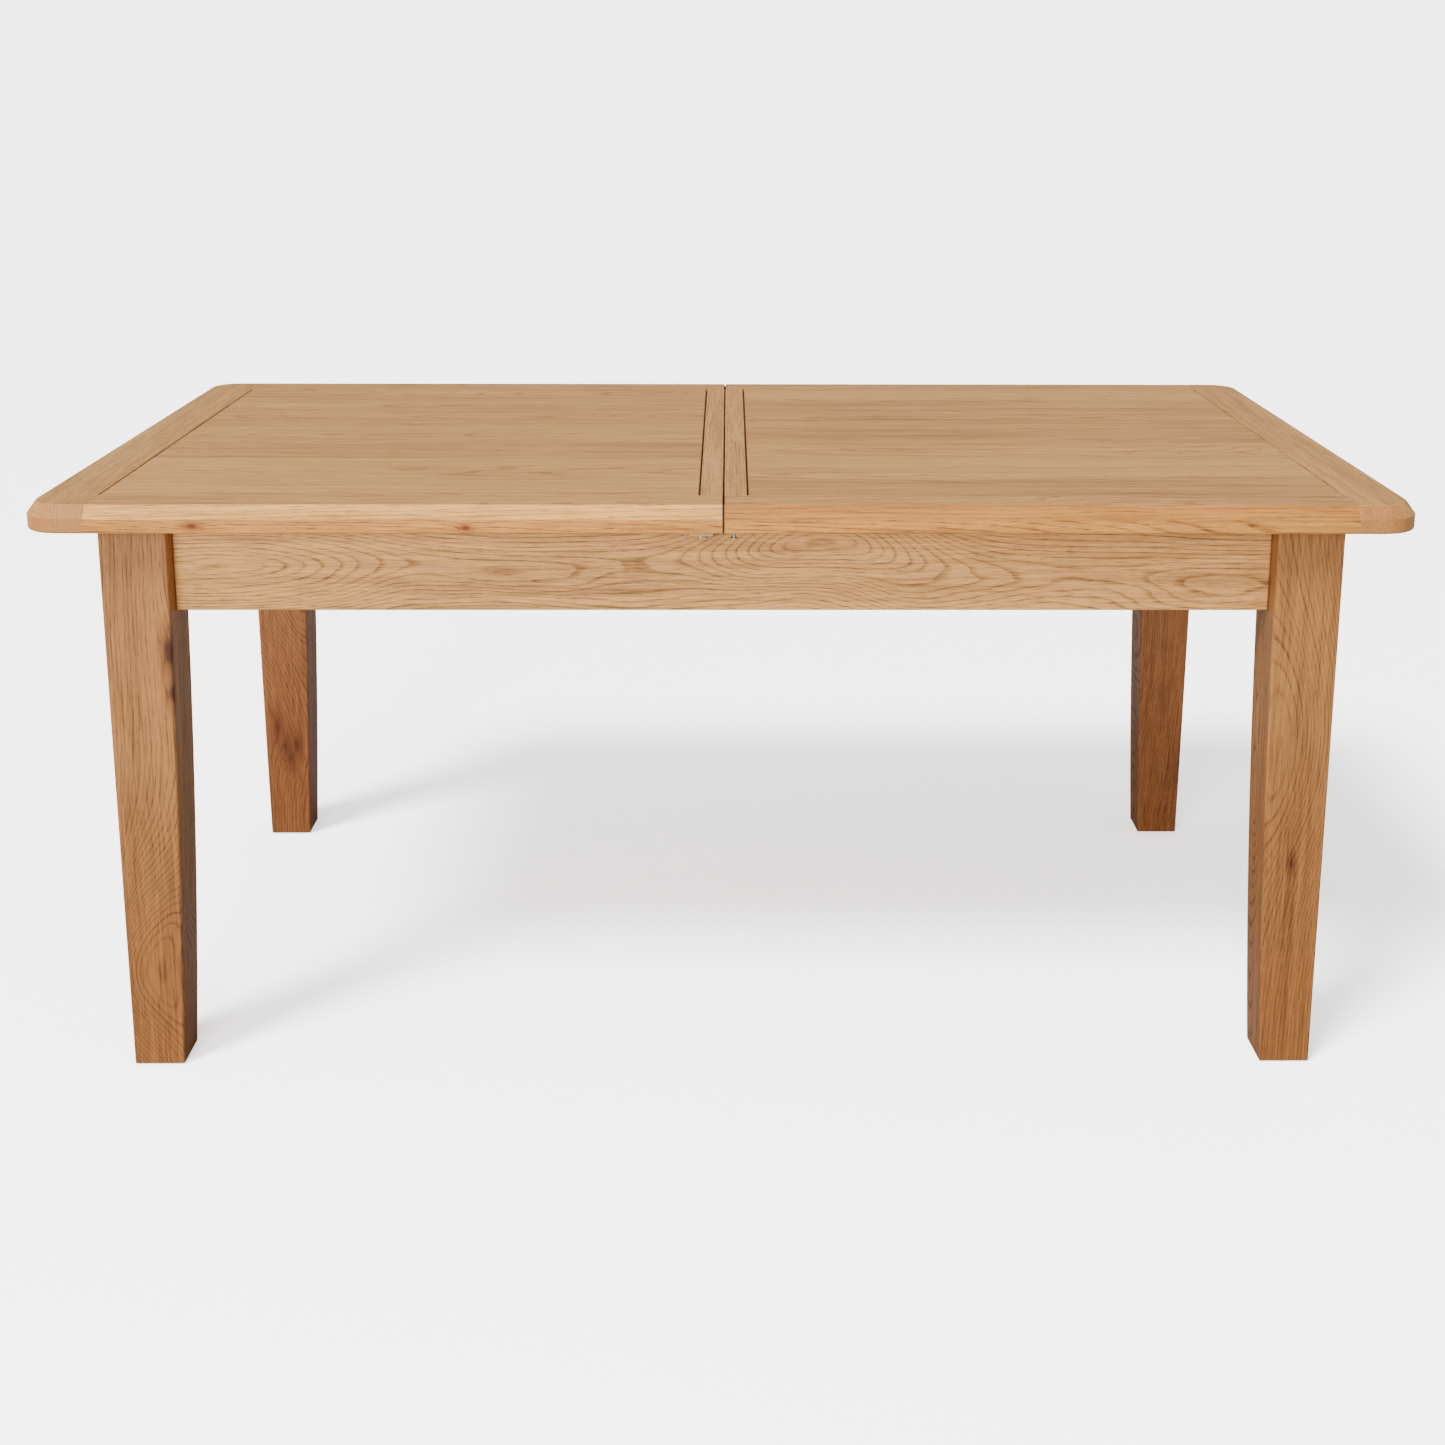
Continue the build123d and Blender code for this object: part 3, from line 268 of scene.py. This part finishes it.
        # Rays show as pale satin flecks across the grain.
        ray = g.noise(along_grain(g, own, 130.0, 55.0, seed), 1.0, 0.5, 0.6)
        ray = g.math("MULTIPLY", g.spread(ray, 0.60, 0.70), g.spread(broad, 0.45, 0.65))
        bright = tuple(min(1.0, c * 1.25) for c in pale[:3]) + (1.0,)
        colour = g.mix(g.math("MULTIPLY", ray, fleck), colour, bright)
    if knot_dark is not None:
        brown = tinted(dark, (0.80, 0.55, 0.42))
        black = tinted(dark, (0.42, 0.26, 0.20))
        colour = g.mix(g.math("MULTIPLY", knot_ring, 0.55), colour, brown)
        colour = g.mix(g.math("MULTIPLY", knot_dark, 0.85), colour, black)
    facing = g.math("ABSOLUTE", g.split(g.coords("Normal"))[AXES[grain]])
    colour = g.mix(g.spread(facing, 0.55, 0.8), colour, end_grain(g, (v, w), early, pale, dark, seed))
    g.plug(g.shader.inputs["Base Color"], colour)
    rough = g.math("MULTIPLY_ADD", early, 0.12, g.math("MULTIPLY_ADD", broad, 0.12, 0.44))
    g.plug(g.shader.inputs["Roughness"], rough)
    g.shader.inputs["Specular IOR Level"].default_value = shine
    height = g.math("ADD", g.math("MULTIPLY", pore, -1.0), g.math("MULTIPLY", fibre, 0.35))
    height = g.math("MULTIPLY_ADD", early, -0.25, height)
    g.plug(g.shader.inputs["Normal"], g.bump(height, 0.35, 0.0004))
    return g.material


OAK_PALE, OAK_DARK = rgb(207, 153, 91), rgb(140, 92, 44)
# Painted light on the rails' sloping front faces: paler on the left as if lit from there, darker on the right
# as painted shade.
LIT_BEVEL_PALE, LIT_BEVEL_DARK = rgb(226, 166, 88), rgb(162, 104, 44)
LEG_PALE, LEG_DARK = rgb(160, 108, 58), rgb(88, 52, 23)
BACK_PALE, BACK_DARK = rgb(160, 104, 60), rgb(100, 58, 30)
EDGE_PALE, EDGE_DARK = rgb(200, 137, 64), rgb(132, 78, 30)
SHADED_BEVEL_PALE, SHADED_BEVEL_DARK = rgb(184, 124, 58), rgb(122, 72, 28)
APRON_PALE, APRON_DARK = rgb(220, 161, 92), rgb(134, 90, 46)
# Painted shade: near-black colours for the dowels and tongues in the seam.
SEAM_SHADE_PALE, SEAM_SHADE_DARK = rgb(62, 42, 26), rgb(40, 26, 16)
# How far the legs darken towards the floor: partly their own tone, partly painted shade.
FOOT_TONE_AND_SHADE = (0.70, 0.60, 0.48, 1.0)
# Where the planks of a board start on Y, and how wide each is.
TOP_PLANKS, LEAF_PLANKS = (-0.411, 0.1174), (-0.2375, 0.0950)

# The top.
for side, seed in (("left", 1.0), ("right", 2.4)):
    sign = -1 if side == "left" else 1
    apply(wood(f"oak_panel_{side}", "X", "Z", OAK_PALE, OAK_DARK, seed, pith=(0.0, 0.70),
               tilt=(0.0, 0.02), planks=TOP_PLANKS, ring=0.0032, contrast=0.55, warp=0.008, tone=0.30,
               pores=0.7), f"panel_{side}")
    apply(wood(f"oak_end_stile_{side}", "Y", "Z", OAK_PALE, OAK_DARK, seed + 3, pith=(sign * 0.93, 0.745),
               tilt=(0.015, 0.01), ring=0.0034, contrast=0.8, warp=0.007, tone=0.3), f"end_stile_{side}",
          f"lipping_end_{side}")
    apply(wood(f"oak_inner_stile_{side}", "Y", "Z", OAK_PALE, OAK_DARK, seed + 4, pith=(sign * 0.05, 0.74),
               tilt=(0.01, 0.01), ring=0.0028, contrast=0.7, warp=0.004, tone=0.25,
               fleck=0.5 if side == "right" else 0.15), f"inner_stile_{side}")
    for end, end_sign in (("front", -1), ("back", 1)):
        # Painted light: the left rails' sloping faces are painted lighter, the right rails' darker.
        painted_bevel_light = (LIT_BEVEL_PALE, LIT_BEVEL_DARK) if side == "left" else (SHADED_BEVEL_PALE, SHADED_BEVEL_DARK)
        apply(wood(f"oak_rail_{end}_{side}", "X", "Z", OAK_PALE, OAK_DARK, seed + 5 + end_sign, bevel_light=painted_bevel_light,
                   pith=(end_sign * 0.46, 0.72), tilt=(0.02, 0.02), ring=0.0034, contrast=0.75, warp=0.008,
                   tone=0.3), f"rail_{end}_{side}")
        small = ()
        if end == "front" and side == "left":
            small = ((-0.655, 0.750, -0.475, 0.004), (-0.318, 0.748, -0.475, 0.003))
        apply(wood(f"oak_lipping_{end}_{side}", "X", "Y", EDGE_PALE, EDGE_DARK, seed + 8 + end_sign,
                   pith=(0.73, end_sign * 0.43), tilt=(0.01, 0.03), ring=0.0032, contrast=0.7, warp=0.006,
                   tone=0.3, pores=1.3, knots=small), f"lipping_{end}_{side}")

# The aprons.
apply(wood("oak_apron_front", "X", "Y", APRON_PALE, APRON_DARK, 11.0, pith=(0.668, -0.350), tilt=(-0.01, 0.0),
           ring=0.0046, contrast=1.05, warp=0.013, tone=0.25, stretch=1.5, pores=1.3,
           arches=((-0.645, 0.19, 0.80, 0.008), (0.125, 0.13, 0.80, 0.052))), "apron_front")
apply(wood("oak_apron_back", "X", "Y", OAK_PALE, OAK_DARK, 12.0, pith=(0.69, 0.36), tilt=(0.012, -0.012),
           ring=0.0042, contrast=1.1, warp=0.018, tone=0.25), "apron_back")
apply(wood("oak_apron_left", "Y", "X", OAK_PALE, OAK_DARK, 13.0, pith=(0.68, -0.72), tilt=(0.03, 0.02),
           ring=0.0042, contrast=1.1, warp=0.016, tone=0.25), "apron_left")
apply(wood("oak_apron_right", "Y", "X", OAK_PALE, OAK_DARK, 14.0, pith=(0.70, 0.72), tilt=(-0.03, 0.02),
           ring=0.0042, contrast=1.1, warp=0.016, tone=0.25), "apron_right")

# The legs: the grain runs down them. Each has a seed, a pith, two colours, knots given as height,
# y, x and radius, and arches.
LEG_LOOKS = {
    "leg_front_left": (21.0, (-0.66, -0.36), LEG_PALE, LEG_DARK,
                       ((0.575, -0.432, -0.705, 0.007), (0.52, -0.432, -0.703, 0.005)),
                       ((0.135, 0.13, 0.50, -0.085),)),
    "leg_front_right": (22.0, (0.66, -0.38), LEG_PALE, LEG_DARK, ((0.285, -0.432, 0.745, 0.0035),),
                        ((0.45, 0.20, 0.5, 0.05),)),
    "leg_back_left": (23.0, (-0.68, 0.45), BACK_PALE, BACK_DARK,
                      ((0.200, 0.364, -0.765, 0.0075), (0.163, 0.364, -0.752, 0.0070),
                       (0.166, 0.364, -0.734, 0.0060), (0.142, 0.364, -0.745, 0.0060)),
                      ((0.45, 0.15, 0.6, -0.04),)),
    "leg_back_right": (24.0, (0.80, 0.40), BACK_PALE, BACK_DARK, (), ((0.35, 0.14, 0.7, 0.04),)),
}
for name, (seed, centre, pale, dark, knots, arches) in LEG_LOOKS.items():
    turned = tuple((up, across, depth, size) for up, depth, across, size in knots)
    apply(wood(f"oak_{name}", "Z", "Y", pale, dark, seed, pith=centre, tilt=(0.02, 0.012), ring=0.0044,
               contrast=0.85, warp=0.008, tone=0.35, knots=turned, fleck=0.1, arches=arches, streaks=1.2,
               knot_length=0.35, foot=FOOT_TONE_AND_SHADE), name)

# The hidden hardwood and the leaf.
BEECH_PALE, BEECH_DARK = rgb(205, 165, 125), rgb(175, 130, 92)
BEECH_SLIDES = ("slider_front_left", "slider_front_right", "slider_back_left", "slider_back_right",
                "slide_rail_front", "slide_rail_back")
for number, name in enumerate(BEECH_SLIDES):
    apply(wood(f"beech_{name}", "X", "Y", BEECH_PALE, BEECH_DARK, 31.0 + number, pith=(0.6, 0.2),
               ring=0.003, contrast=0.4, warp=0.004, tone=0.2, pores=0.35, fleck=0.3), name)
apply(wood("beech_bearers", "Y", "Z", BEECH_PALE, BEECH_DARK, 40.0, pith=(0.1, 0.6), ring=0.003,
           contrast=0.45, warp=0.004, tone=0.2, pores=0.35, fleck=0.3), "bearers", "leaf_rests")
apply(wood("beech_blocks", "Z", "X", BEECH_PALE, BEECH_DARK, 41.0, pith=(0.1, 0.6), ring=0.003,
           contrast=0.45, warp=0.004, tone=0.2, pores=0.35, fleck=0.3),
      "corner_blocks", "leaf_pivot_posts", "leaf_pivot_blocks")
# The dowels and tongues in the seam are painted near black as painted shade, so that the gap between the
# halves reads as a dark line.
apply(wood("seam_shade_dowels", "X", "Z", SEAM_SHADE_PALE, SEAM_SHADE_DARK, 42.0, pith=(0.1, 0.6), ring=0.003,
           contrast=0.3, warp=0.003, tone=0.15, pores=0.3), "seam_dowels_and_tongues")
apply(wood("oak_packers", "X", "Z", OAK_PALE, OAK_DARK, 43.0, pith=(-0.4, 0.7), ring=0.003, contrast=0.6,
           warp=0.003, tone=0.2), "catch_packers")
for number, name in enumerate(("leaf_pivoted_half", "leaf_folding_half")):
    apply(wood(f"oak_{name}", "X", "Z", OAK_PALE, OAK_DARK, 51.0 + number, pith=(0.0, 0.64),
               planks=LEAF_PLANKS, ring=0.0032, contrast=0.6, warp=0.008, tone=0.3), name)

# ---------------------------------------------------------------- metal and felt


def metal(name, colour, roughness, worn, seed):
    """Plated or bare steel or brass: fine rolling marks, small blotches and a slightly uneven shine."""
    g = Graph(name)
    x, y, z = g.split(g.coords())
    blotch = g.noise(g.vector(g.math("MULTIPLY_ADD", x, 160.0, seed), g.math("MULTIPLY", y, 160.0),
                              g.math("MULTIPLY", z, 160.0)), 3.0, 0.6)
    grit = g.noise(g.vector(g.math("MULTIPLY_ADD", x, 1500.0, seed), g.math("MULTIPLY", y, 1500.0),
                            g.math("MULTIPLY", z, 1500.0)), 1.0, 0.5)
    g.plug(g.shader.inputs["Base Color"], g.mix(g.spread(blotch, 0.45, 0.7), colour, worn))
    g.plug(g.shader.inputs["Roughness"], g.spread(blotch, 0.3, 0.7, roughness, roughness + 0.18))
    g.shader.inputs["Metallic"].default_value = 1.0
    g.plug(g.shader.inputs["Normal"], g.bump(grit, 0.15, 0.0001))
    return g.material


apply(metal("zinc_plate", (0.42, 0.38, 0.32, 1), 0.40, (0.24, 0.21, 0.17, 1), 1.0),
      "catch_lever_front", "catch_lever_back", "catch_pivots", "catch_keepers", "catch_staples",
      "hanger_bolts", "bolt_nuts", "bolt_washers", "rail_screws", "slider_screws_left",
      "slider_screws_right", "leaf_pivots", "pinion_axles")
apply(metal("gear_steel", (0.45, 0.45, 0.46, 1), 0.34, (0.30, 0.28, 0.26, 1), 2.0),
      "pinion_front", "pinion_back", "rack_front_left", "rack_front_right", "rack_back_left",
      "rack_back_right")
apply(metal("hinge_brass", (0.72, 0.53, 0.25, 1), 0.30, (0.50, 0.35, 0.17, 1), 3.0), "leaf_hinges")

felt = Graph("felt")
fx, fy, fz = felt.split(felt.coords())
tufts = felt.noise(felt.vector(felt.math("MULTIPLY", fx, 900.0), felt.math("MULTIPLY", fy, 900.0),
                               felt.math("MULTIPLY", fz, 900.0)), 3.0, 0.7)
felt.plug(felt.shader.inputs["Base Color"], felt.mix(tufts, rgb(52, 42, 36), rgb(96, 80, 68)))
felt.shader.inputs["Roughness"].default_value = 0.95
felt.plug(felt.shader.inputs["Normal"], felt.bump(tufts, 0.6, 0.0006))
apply(felt.material, "foot_pads")

# ---------------------------------------------------------------- floor, light and camera

FLOOR_GLOW, FLOOR_GAIN, SKY, SUN = 0.9, 2.5, 0.45, 4.0
KEY_FROM = (-0.42, -0.46, 0.78)
FAR_WHITE = FLOOR_GLOW + FLOOR_GAIN * (SKY + SUN * KEY_FROM[2] / pi)

bpy.ops.mesh.primitive_plane_add(size=60, location=(0, 0, 0))
floor = bpy.context.object
floor.name = "floor"
paper = Graph("paper")
lens_ray = paper.tree.nodes.new("ShaderNodeLightPath").outputs["Is Camera Ray"]
# The floor that the camera sees is lifted towards white, but it sends less light back up at the table.
lit_paper, seen_paper = (0.45, 0.45, 0.45, 1), (FLOOR_GAIN, FLOOR_GAIN, FLOOR_GAIN, 1)
paper.plug(paper.shader.inputs["Base Color"], paper.mix(lens_ray, lit_paper, seen_paper))
paper.shader.inputs["Roughness"].default_value = 1.0
paper.shader.inputs["Specular IOR Level"].default_value = 0.0
paper.shader.inputs["Emission Color"].default_value = (1, 1, 1, 1)
glow = paper.spread(lens_ray, 0.0, 1.0, 0.0, FLOOR_GLOW, smooth=False)
paper.plug(paper.shader.inputs["Emission Strength"], glow)
floor.data.materials.append(paper.material)

world = bpy.data.worlds.new("studio")
bpy.context.scene.world = world
world.use_nodes = True
sky = world.node_tree.nodes["Background"]
sky.inputs["Color"].default_value = (1, 1, 1, 1)
seen = world.node_tree.nodes.new("ShaderNodeMapRange")
path = world.node_tree.nodes.new("ShaderNodeLightPath")
world.node_tree.links.new(path.outputs["Is Camera Ray"], seen.inputs["Value"])
# The lit sky is softer than the white that the camera sees behind the table.
seen.inputs["To Min"].default_value = SKY
seen.inputs["To Max"].default_value = FAR_WHITE
world.node_tree.links.new(seen.outputs["Result"], sky.inputs["Strength"])


def softbox(name, place, target, size, power):
    """A large area light at place, aimed at target."""
    lamp = bpy.data.lights.new(name, "AREA")
    lamp.shape = "DISK"
    lamp.size = size
    lamp.energy = power
    holder = bpy.data.objects.new(name, lamp)
    bpy.context.collection.objects.link(holder)
    holder.location = place
    holder.rotation_euler = (Vector(target) - Vector(place)).to_track_quat("-Z", "Y").to_euler()
    return holder


sun = bpy.data.lights.new("key", "SUN")
sun.energy = SUN
sun.angle = radians(17)
key = bpy.data.objects.new("key", sun)
bpy.context.collection.objects.link(key)
key.rotation_euler = Vector(KEY_FROM).to_track_quat("Z", "Y").to_euler()
softbox("front", (-1.2, -4.6, 1.5), (0, 0, 0.6), 2.4, 230)

# The camera stands in front of the table and above it, looking down a little.
CAMERA_PLACE = (0.006, -2.810, 1.309)
PITCH, YAW, ROLL = 0.2213, 0.0113, 0.0032
LENS, SHIFT_X, SHIFT_Y = 48.45, -0.019, -0.154
forward = Vector((sin(YAW) * cos(PITCH), cos(YAW) * cos(PITCH), -sin(PITCH)))
level = Vector((cos(YAW), -sin(YAW), 0))
upright = level.cross(forward)
right = level * cos(ROLL) + upright * sin(ROLL)
up = upright * cos(ROLL) - level * sin(ROLL)
camera_data = bpy.data.cameras.new("camera")
camera = bpy.data.objects.new("camera", camera_data)
bpy.context.collection.objects.link(camera)
turn = Matrix((right, up, -forward)).transposed().to_4x4()
camera.matrix_world = Matrix.Translation(CAMERA_PLACE) @ turn
camera_data.sensor_width = 36.0
camera_data.lens = LENS
camera_data.shift_x = SHIFT_X
camera_data.shift_y = SHIFT_Y
bpy.context.scene.camera = camera
